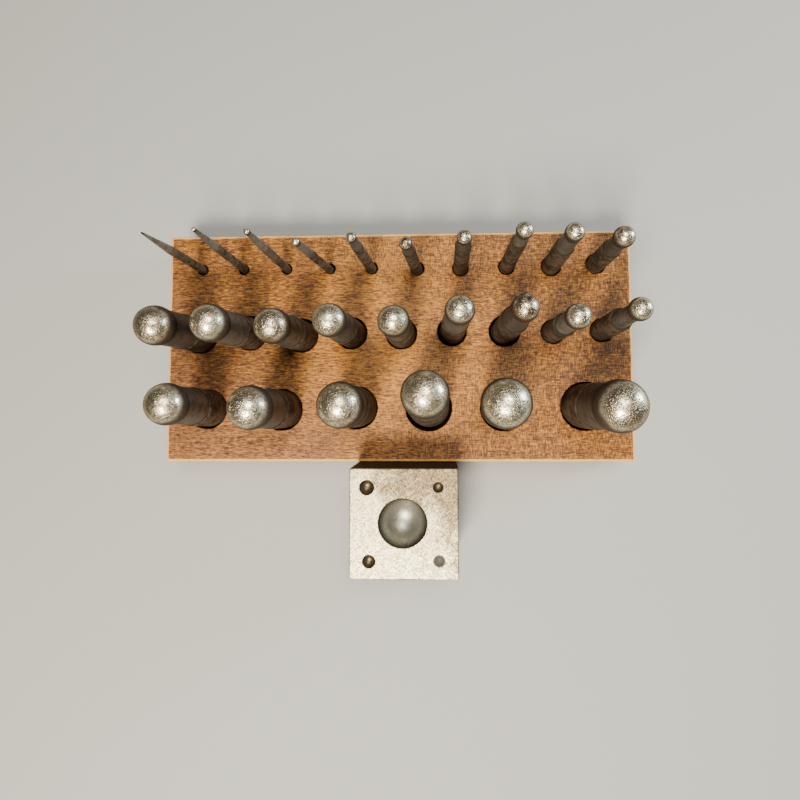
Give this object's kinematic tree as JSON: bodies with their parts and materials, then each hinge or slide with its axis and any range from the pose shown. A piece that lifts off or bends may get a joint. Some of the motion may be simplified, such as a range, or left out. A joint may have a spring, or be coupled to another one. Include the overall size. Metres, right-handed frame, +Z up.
{
  "type": "dapping punch set",
  "caption": "Wooden stand with graded ball-ended doming punches standing in drilled holes, and a loose steel doming block with round cavities in its faces.",
  "frame": {"origin": "centre of the stand underside, on the surface it stands on", "axes": "+X along the stand toward the large punch end of the front row, +Y away from the doming block, +Z up"},
  "size_m": [0.258, 0.1819, 0.0872],
  "materials": {
    "wood": "old stained and oiled hardwood, worn pale along its edges",
    "punch_steel": "worn turned steel: bright pitted balls, dark necks and brown shanks",
    "block_steel": "pale ground steel with fine scratches and light pitting"
  },
  "bodies": {
    "stand": {"stand": "wood"},
    "punch_01mm": {"punch_01mm": "punch_steel"},
    "punch_02mm": {"punch_02mm": "punch_steel"},
    "punch_03mm": {"punch_03mm": "punch_steel"},
    "punch_04mm": {"punch_04mm": "punch_steel"},
    "punch_05mm": {"punch_05mm": "punch_steel"},
    "punch_06mm": {"punch_06mm": "punch_steel"},
    "punch_07mm": {"punch_07mm": "punch_steel"},
    "punch_08mm": {"punch_08mm": "punch_steel"},
    "punch_09mm": {"punch_09mm": "punch_steel"},
    "punch_10mm": {"punch_10mm": "punch_steel"},
    "punch_11mm": {"punch_11mm": "punch_steel"},
    "punch_12mm": {"punch_12mm": "punch_steel"},
    "punch_13mm": {"punch_13mm": "punch_steel"},
    "punch_14mm": {"punch_14mm": "punch_steel"},
    "punch_15mm": {"punch_15mm": "punch_steel"},
    "punch_16mm": {"punch_16mm": "punch_steel"},
    "punch_17mm": {"punch_17mm": "punch_steel"},
    "punch_18mm": {"punch_18mm": "punch_steel"},
    "punch_19mm": {"punch_19mm": "punch_steel"},
    "punch_20mm": {"punch_20mm": "punch_steel"},
    "punch_21mm": {"punch_21mm": "punch_steel"},
    "punch_22mm": {"punch_22mm": "punch_steel"},
    "punch_23mm": {"punch_23mm": "punch_steel"},
    "punch_24mm": {"punch_24mm": "punch_steel"},
    "punch_25mm": {"punch_25mm": "punch_steel"},
    "doming_block": {"doming_block": "block_steel"}
  },
  "joints": [
    {"name": "lift_punch_01mm", "type": "slide", "parent": "stand", "child": "punch_01mm", "axis": [-0.0505, 0.0505, 0.9974], "range_m": [0, 0.03]},
    {"name": "lift_punch_02mm", "type": "slide", "parent": "stand", "child": "punch_02mm", "axis": [-0.0348, 0.0662, 0.9972], "range_m": [0, 0.03]},
    {"name": "lift_punch_03mm", "type": "slide", "parent": "stand", "child": "punch_03mm", "axis": [-0.0349, 0.0471, 0.9983], "range_m": [0, 0.03]},
    {"name": "lift_punch_04mm", "type": "slide", "parent": "stand", "child": "punch_04mm", "axis": [-0.0645, -0.0261, 0.9976], "range_m": [0, 0.03]},
    {"name": "lift_punch_05mm", "type": "slide", "parent": "stand", "child": "punch_05mm", "axis": [-0.0384, 0.0017, 0.9993], "range_m": [0, 0.03]},
    {"name": "lift_punch_06mm", "type": "slide", "parent": "stand", "child": "punch_06mm", "axis": [-0.0453, -0.0383, 0.9982], "range_m": [0, 0.03]},
    {"name": "lift_punch_07mm", "type": "slide", "parent": "stand", "child": "punch_07mm", "axis": [-0.007, 0, 1], "range_m": [0, 0.03]},
    {"name": "lift_punch_08mm", "type": "slide", "parent": "stand", "child": "punch_08mm", "axis": [0.0227, 0.0384, 0.999], "range_m": [0, 0.03]},
    {"name": "lift_punch_09mm", "type": "slide", "parent": "stand", "child": "punch_09mm", "axis": [-0.007, 0.0227, 0.9997], "range_m": [0, 0.03]},
    {"name": "lift_punch_10mm", "type": "slide", "parent": "stand", "child": "punch_10mm", "axis": [-0.0453, -0.0296, 0.9985], "range_m": [0, 0.03]},
    {"name": "lift_punch_11mm", "type": "slide", "parent": "stand", "child": "punch_11mm", "axis": [0.0192, 0.0366, 0.9991], "range_m": [0, 0.03]},
    {"name": "lift_punch_12mm", "type": "slide", "parent": "stand", "child": "punch_12mm", "axis": [0.0018, -0.0035, 1], "range_m": [0, 0.03]},
    {"name": "lift_punch_13mm", "type": "slide", "parent": "stand", "child": "punch_13mm", "axis": [0.0488, 0.0558, 0.9973], "range_m": [0, 0.03]},
    {"name": "lift_punch_14mm", "type": "slide", "parent": "stand", "child": "punch_14mm", "axis": [0.0383, 0.0453, 0.9982], "range_m": [0, 0.03]},
    {"name": "lift_punch_15mm", "type": "slide", "parent": "stand", "child": "punch_15mm", "axis": [0, -0.0122, 0.9999], "range_m": [0, 0.03]},
    {"name": "lift_punch_16mm", "type": "slide", "parent": "stand", "child": "punch_16mm", "axis": [-0.0279, -0.0087, 0.9996], "range_m": [0, 0.03]},
    {"name": "lift_punch_17mm", "type": "slide", "parent": "stand", "child": "punch_17mm", "axis": [-0.0087, -0.0314, 0.9995], "range_m": [0, 0.03]},
    {"name": "lift_punch_18mm", "type": "slide", "parent": "stand", "child": "punch_18mm", "axis": [-0.0192, -0.0279, 0.9994], "range_m": [0, 0.03]},
    {"name": "lift_punch_19mm", "type": "slide", "parent": "stand", "child": "punch_19mm", "axis": [0.014, -0.0262, 0.9996], "range_m": [0, 0.03]},
    {"name": "lift_punch_20mm", "type": "slide", "parent": "stand", "child": "punch_20mm", "axis": [0.0349, 0.0506, 0.9981], "range_m": [0, 0.03]},
    {"name": "lift_punch_21mm", "type": "slide", "parent": "stand", "child": "punch_21mm", "axis": [-0.0105, 0.0297, 0.9995], "range_m": [0, 0.03]},
    {"name": "lift_punch_22mm", "type": "slide", "parent": "stand", "child": "punch_22mm", "axis": [-0.0017, 0.0314, 0.9995], "range_m": [0, 0.03]},
    {"name": "lift_punch_23mm", "type": "slide", "parent": "stand", "child": "punch_23mm", "axis": [-0.0121, 0.1115, 0.9937], "range_m": [0, 0.03]},
    {"name": "lift_punch_24mm", "type": "slide", "parent": "stand", "child": "punch_24mm", "axis": [-0.0749, 0.04, 0.9964], "range_m": [0, 0.03]},
    {"name": "lift_punch_25mm", "type": "slide", "parent": "stand", "child": "punch_25mm", "axis": [0.0611, 0.007, 0.9981], "range_m": [0, 0.03]},
    {"name": "lift_doming_block", "type": "slide", "parent": "stand", "child": "doming_block", "axis": [0, 0, 1], "range_m": [0, 0.06]}
  ]
}
